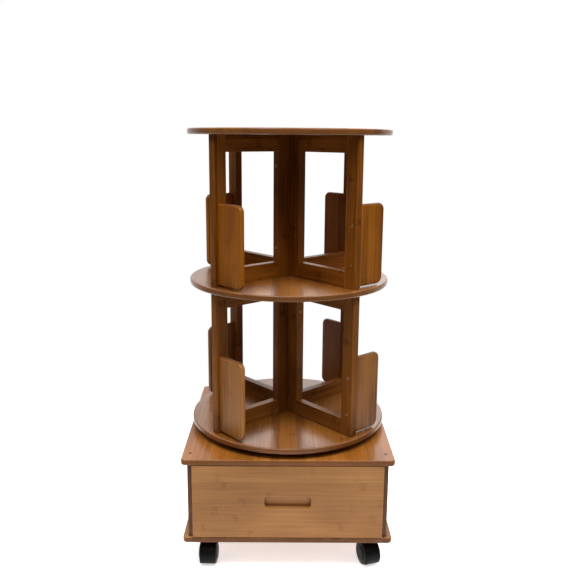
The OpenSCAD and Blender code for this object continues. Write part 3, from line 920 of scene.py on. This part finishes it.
@dataclass
class Base:
    """The fixed case on castors: two square boards, side panels and back panel. Sizes in millimetres."""

    finishes: Finishes
    width: float = 460.0
    bottom_width: float = 458.0
    bottom_z: float = 65.0
    bottom_t: float = 12.0
    case_h: float = 170.5
    top_t: float = 13.0
    corner_r: float = 10.0
    edge_r: float = 3.0
    case_out: float = 217.0
    panel_t: float = 9.0
    case_front: float = 221.0
    back_inset: float = 3.0
    screw_inset: float = 25.0
    screw_bite: float = 22.0

    def __post_init__(self) -> None:
        """Works out the places that several pieces share."""
        self.case_z = self.bottom_z + self.bottom_t
        self.top_z = self.case_z + self.case_h
        self.case_in = self.case_out - self.panel_t
        self.back_y = self.case_front - self.back_inset - self.panel_t

    def build(self) -> None:
        """Builds every piece of the case."""
        self.square_board("base_top", self.width, self.top_z, self.top_t, Pattern.BASE_TOP)
        self.square_board("bottom_panel", self.bottom_width, self.bottom_z, self.bottom_t,
                          Pattern.BOTTOM_PANEL)
        for side, name in ((-1, "left_side_panel"), (1, "right_side_panel")):
            left, right = sorted((side * self.case_in, side * self.case_out))
            self.panel(name, Vector((left, -self.case_front, self.case_z)),
                       Vector((right, self.case_front, self.top_z)), AXIS_Y, Pattern.SIDE_PANEL + side)
        self.panel("back_panel", Vector((-self.case_in, self.back_y, self.case_z)),
                   Vector((self.case_in, self.back_y + self.panel_t, self.top_z)), AXIS_X, Pattern.BACK_PANEL)
        self.screws()

    def square_board(self, name: str, width: float, z: float, thick: float, seed: int) -> None:
        """Builds a square board with rounded corners and softened edges.

        Args:
            name: name of its node.
            width: side of the square.
            z: height of its underside.
            thick: its thickness.
            seed: number of its grain pattern.
        """
        made = Shape()
        made.block(Vector((-width / 2, -width / 2, z)), Vector((width / 2, width / 2, z + thick)))
        made.round_edges([e for e in made.bm.edges if runs_along(e, AXIS_Z)], self.corner_r, segments=8)
        made.round_edges(made.sharp_edges(), self.edge_r, segments=6)
        made.lay(AXIS_Y, AXIS_X, seed)
        finish = self.finishes.top if name == "base_top" else self.finishes.case
        made.piece(name + "_board", finish, "base", [name], "case_bamboo")

    def panel(self, name: str, low: Vector, high: Vector, along: Vector, seed: int) -> None:
        """Builds an upright panel of the case.

        Args:
            name: name of its node.
            low: lowest corner.
            high: highest corner.
            along: direction of its fibres.
            seed: number of its grain pattern.
        """
        made = plain_board(low, high, along, seed)
        made.piece(name + "_board", self.finishes.case, "base", [name], "case_bamboo")

    def screws(self) -> None:
        """Builds the screws of the case, whose heads show in the base top and under the bottom panel."""
        middle = self.case_out - self.panel_t / 2
        front = self.case_front - self.screw_inset
        inner = self.case_in - 2 * self.screw_inset
        points = [(x, y) for x in (-middle, middle) for y in (-front, front)]
        points += [(x, self.back_y + self.panel_t / 2) for x in (-inner, inner)]
        top = self.top_z + self.top_t
        made = Screw(self.top_t + self.screw_bite).copies(Matrix.Translation((x, y, top)) for x, y in points)
        under = Screw(self.bottom_t + self.screw_bite).copies(
            Matrix.Translation((x, y, self.bottom_z)) @ UPSIDE_DOWN for x, y in points)
        made.join(under)
        under.bm.free()
        made.piece("case_screws_set", self.finishes.case_screw, "base", ["case_screws"], "screw_steel")


@dataclass
class Drawer:
    """The drawer: a front with a finger slot on a plain box. Sizes in millimetres."""

    finishes: Finishes
    base: Base
    proud: float = 8.0
    gap: float = 1.0
    front_t: float = 12.0
    front_edge_r: float = 1.2
    box_h: float = 130.0
    board_t: float = 9.0
    floor_t: float = 5.0
    floor_lift: float = 8.0
    side_gap: float = 1.5
    back_gap: float = 25.0
    lift: float = 0.3
    slot_w: float = 100.0
    slot_h: float = 27.0
    slot_r: float = 8.0
    screw: Screw = Screw(17.0)
    screw_gap: float = 45.0
    screw_rise: float = 30.0

    def __post_init__(self) -> None:
        """Works out the places that several pieces share."""
        self.front_y = -self.base.case_front - self.proud
        self.box_y = self.front_y + self.front_t
        self.inner_y = self.box_y + self.board_t
        self.back_y = self.base.back_y - self.back_gap
        self.half_out = self.base.case_in - self.side_gap
        self.half_in = self.half_out - self.board_t
        self.box_z = self.base.case_z + self.lift
        self.front_z = self.base.case_z + self.gap
        self.front_h = self.base.case_h - 2 * self.gap
        self.middle_z = self.front_z + self.front_h / 2

    def build(self) -> None:
        """Builds every piece of the drawer."""
        self.front()
        self.box()
        self.screws()

    def box(self) -> None:
        """Builds the boards of the box and its floor."""
        low, high = self.box_z, self.box_z + self.box_h
        front, back = self.box_y, self.back_y
        inside, outside = self.half_in, self.half_out
        boards = {
            "drawer_inner_front": ((-inside, front, low), (inside, self.inner_y, high), AXIS_X),
            "drawer_back": ((-inside, back - self.board_t, low), (inside, back, high), AXIS_X),
            "drawer_left_side": ((-outside, front, low), (-inside, back, high), AXIS_Y),
            "drawer_right_side": ((inside, front, low), (outside, back, high), AXIS_Y),
        }
        for seed, (name, (start, end, along)) in enumerate(boards.items(), Pattern.DRAWER_BOX):
            made = plain_board(Vector(start), Vector(end), along, seed)
            finish = self.finishes.inner_front if name == "drawer_inner_front" else self.finishes.box
            made.piece(name + "_board", finish, "drawer", [name], "box_bamboo")
        floor = low + self.floor_lift
        made = Shape()
        made.block(Vector((-inside, self.inner_y, floor)),
                   Vector((inside, back - self.board_t, floor + self.floor_t)))
        made.lay(AXIS_X, AXIS_Y, Pattern.DRAWER_FLOOR)
        made.piece("drawer_floor_board", self.finishes.box, "drawer", ["drawer_floor"], "box_bamboo")

    def front(self) -> None:
        """Builds the drawer front with its rounded finger slot."""
        half = self.base.case_in - self.gap
        half_w, half_h = self.slot_w / 2, self.slot_h / 2
        columns = [-half, -half_w, half_w, half]
        rows = [self.front_z, self.middle_z - half_h, self.middle_z + half_h, self.front_z + self.front_h]
        made = Shape()
        made.lattice(columns, rows, [(1, 1)], (self.front_y, self.box_y))
        middle = AXIS_Z * self.middle_z * MM
        corners = []
        for edge in made.bm.edges:
            away = edge.verts[0].co - middle
            near = abs(away.x) < self.slot_w * MM and abs(away.z) < self.slot_h * MM
            if near and edge.is_manifold and runs_along(edge, AXIS_Y):
                corners.append(edge)
        made.round_edges(corners, self.slot_r, segments=8)
        made.round_edges(made.sharp_edges(lambda e: e.is_convex), self.front_edge_r)
        made.lay(AXIS_X, AXIS_Z, Pattern.DRAWER_FRONT)
        made.piece("drawer_front_board", self.finishes.drawer, "drawer", ["drawer_front"], "drawer_bamboo")

    def screws(self) -> None:
        """Builds the screws that hold the front, with their heads inside the box."""
        face_on = Matrix.Rotation(-math.pi / 2, 4, "X")
        reach = self.slot_w / 2 + self.screw_gap
        made = self.screw.copies(
            Matrix.Translation((x, self.inner_y, self.middle_z + z)) @ face_on
            for x in (-reach, reach) for z in (-self.screw_rise, self.screw_rise))
        made.piece("drawer_screws_set", self.finishes.screw, "drawer", ["drawer_screws"], "screw_steel")


@dataclass
class Running:
    """The turntable and the castors. Their construction nodes keep their shape, apart from the balls."""

    finishes: Finishes
    ball_count: int = 24
    ball_facets: int = 24
    ball_rings: int = 16

    def build(self) -> None:
        """Builds the balls and dresses every other node."""
        self.balls()
        for node in ("turntable_outer_ring", "turntable_inner_ring"):
            dress_node(node, self.finishes.ring)
        dress_node("ball_cage", self.finishes.cage)
        for node in ("turntable_base_screws", "turntable_shelf_screws", "castor_screws"):
            dress_node(node, self.finishes.screw)
        for node in ("castor_plates", "castor_stems"):
            dress_node(node, self.finishes.bearing)
        for corner in Corner:
            castor = corner.value + "_castor"
            dress_node(castor + "_hood", self.finishes.hood)
            dress_node(castor + "_axle", self.finishes.bearing)
            for wheel in ("a", "b"):
                dress_node(f"{castor}_wheel_{wheel}", self.finishes.wheel)

    def balls(self) -> None:
        """Builds the ring of bearing balls, sized and placed by their node."""
        low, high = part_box("turntable_balls")
        radius = (high.z - low.z) / 2
        ring = high.x - radius
        made = Shape()
        for number in range(self.ball_count):
            turn = Matrix.Rotation(2 * math.pi * number / self.ball_count, 4, "Z")
            spot = turn @ Matrix.Translation((ring, 0, low.z + radius))
            bmesh.ops.create_uvsphere(made.bm, u_segments=self.ball_facets, v_segments=self.ball_rings,
                                      radius=radius, matrix=spot)
        made.piece("turntable_balls_set", self.finishes.bearing, "ball_set", ["turntable_balls"],
                   "bearing_steel")


@dataclass(frozen=True)
class Lamp:
    """A square soft box that looks at the middle of the bookcase. Metres and watts."""

    name: str
    spot: tuple[float, float, float]
    size: float
    power: float
    aim: tuple[float, float, float] = (0.0, 0.0, 0.45)

    def hang(self) -> None:
        """Hangs the lamp."""
        data = bpy.data.lights.new(self.name, "AREA")
        data.size = self.size
        data.energy = self.power
        lamp = bpy.data.objects.new(self.name, data)
        lamp.location = self.spot
        way = Vector(self.aim) - Vector(self.spot)
        lamp.rotation_euler = way.to_track_quat("-Z", "Y").to_euler()
        bpy.context.scene.collection.objects.link(lamp)


@dataclass
class Studio:
    """Pale floor, soft light and the photograph's viewpoint. Metres and radians unless named otherwise."""

    place: Vector = field(default_factory=lambda: Vector((-0.00954, -1.6293, 0.93484)))
    pitch: float = 0.2100
    yaw: float = 0.0048
    roll: float = 0.0074
    focal_px: float = 708.21
    image_px: float = 576.0
    sensor_mm: float = 36.0
    floor_r: float = 0.8
    floor_glow: float = 0.62
    paper_mm: float = 25.0
    low_sky: float = 0.04
    sky_line: float = 0.3
    high_sky: float = 1.6
    backdrop: float = 1.0
    backdrop_span: tuple[float, float] = (0.3, 0.9)
    ground: float = 0.25
    ground_span: tuple[float, float] = (-0.02, -0.2)
    lamps: tuple[Lamp, ...] = (
        Lamp("key", (-0.7, -1.05, 2.85), 0.8, 33.0),
        Lamp("fill", (0.9, -1.05, 2.7), 0.8, 34.0),
        Lamp("rear", (0.5, 2.2, 2.0), 1.8, 14.0),
    )

    def build(self) -> None:
        """Builds floor, light and camera."""
        self.floor()
        self.surround()
        for lamp in self.lamps:
            lamp.hang()
        self.camera()

    def floor(self) -> None:
        """Lays a round pale floor."""
        bm = bmesh.new()
        bmesh.ops.create_circle(bm, cap_ends=True, segments=96, radius=self.floor_r)
        mesh = bpy.data.meshes.new("studio_floor")
        bm.to_mesh(mesh)
        bm.free()
        # matt paper that glows a little: a floor as white as a lit studio's
        material, tree, shader = fresh_material("matt white paper")
        place = add(tree, "TexCoord").outputs["Object"]
        fibres = {"Vector": place, "Scale": 1 / (self.paper_mm * MM), "Detail": 3.0}
        ramp = add(tree, "ValToRGB", {0: add(tree, "TexNoise", fibres)})
        stops = ramp.color_ramp.elements
        stops[0].color = linear("#f7f7f7")
        stops[1].color = linear("#fcfcfc")
        feed(tree, shader, {
            "Base Color": ramp,
            "Emission Color": ramp,
            "Emission Strength": self.floor_glow,
            "Roughness": 0.9,
        })
        mesh.materials.append(material)
        floor = bpy.data.objects.new("studio_floor", mesh)
        bpy.context.scene.collection.objects.link(floor)

    def surround(self) -> None:
        """Sets a white surround that shines from above, from a backdrop and a little from below."""
        world = bpy.data.worlds.new("white surround")
        bpy.context.scene.world = world
        world.use_nodes = True
        tree = world.node_tree
        ray = add(tree, "TexCoord").outputs["Generated"]
        _, away, height = add(tree, "SeparateXYZ", {0: ray}).outputs
        shine = add(tree, "MapRange", {0: height, 1: self.sky_line, 2: 1.0, 3: self.low_sky,
                                       4: self.high_sky})
        for way, span, strength in (
            (away, self.backdrop_span, self.backdrop),
            (height, self.ground_span, self.ground),
        ):
            glow = add(tree, "MapRange", {0: way, 1: span[0], 2: span[1], 3: 0.0, 4: strength})
            shine = add(tree, "Math", {0: shine, 1: glow}, operation="ADD")
        seen = add(tree, "LightPath").outputs["Is Camera Ray"]
        feed(tree, tree.nodes["Background"], {
            "Color": (1.0, 1.0, 1.0, 1.0),
            "Strength": add(tree, "MapRange", {0: seen, 3: shine, 4: 1.0}),
        })

    def camera(self) -> None:
        """Sets the camera where the photograph was taken."""
        level = math.cos(self.pitch)
        ahead = Vector((math.sin(self.yaw) * level, math.cos(self.yaw) * level, -math.sin(self.pitch)))
        right = Vector((math.cos(self.yaw), -math.sin(self.yaw), 0.0))
        up = right.cross(ahead)
        tilt, rise = math.cos(self.roll), math.sin(self.roll)
        across, above = right * tilt + up * rise, up * tilt - right * rise
        data = bpy.data.cameras.new("photo viewpoint")
        data.sensor_width = self.sensor_mm
        data.lens = self.focal_px * self.sensor_mm / self.image_px
        camera = bpy.data.objects.new("photo viewpoint", data)
        pose = Matrix((across, above, -ahead)).transposed().to_4x4()
        pose.translation = self.place
        camera.matrix_world = pose
        bpy.context.scene.collection.objects.link(camera)
        bpy.context.scene.camera = camera
        bpy.context.scene.view_settings.view_transform = "Standard"


def main() -> None:
    """Builds the bookcase piece by piece, then the studio, and logs each piece's face count."""
    logging.basicConfig(level=logging.INFO, format="%(message)s")
    finishes = Finishes()
    base = Base(finishes)
    for part in (Tower(finishes), base, Drawer(finishes, base), Running(finishes), Studio()):
        part.build()


if __name__ == "__main__":
    main()
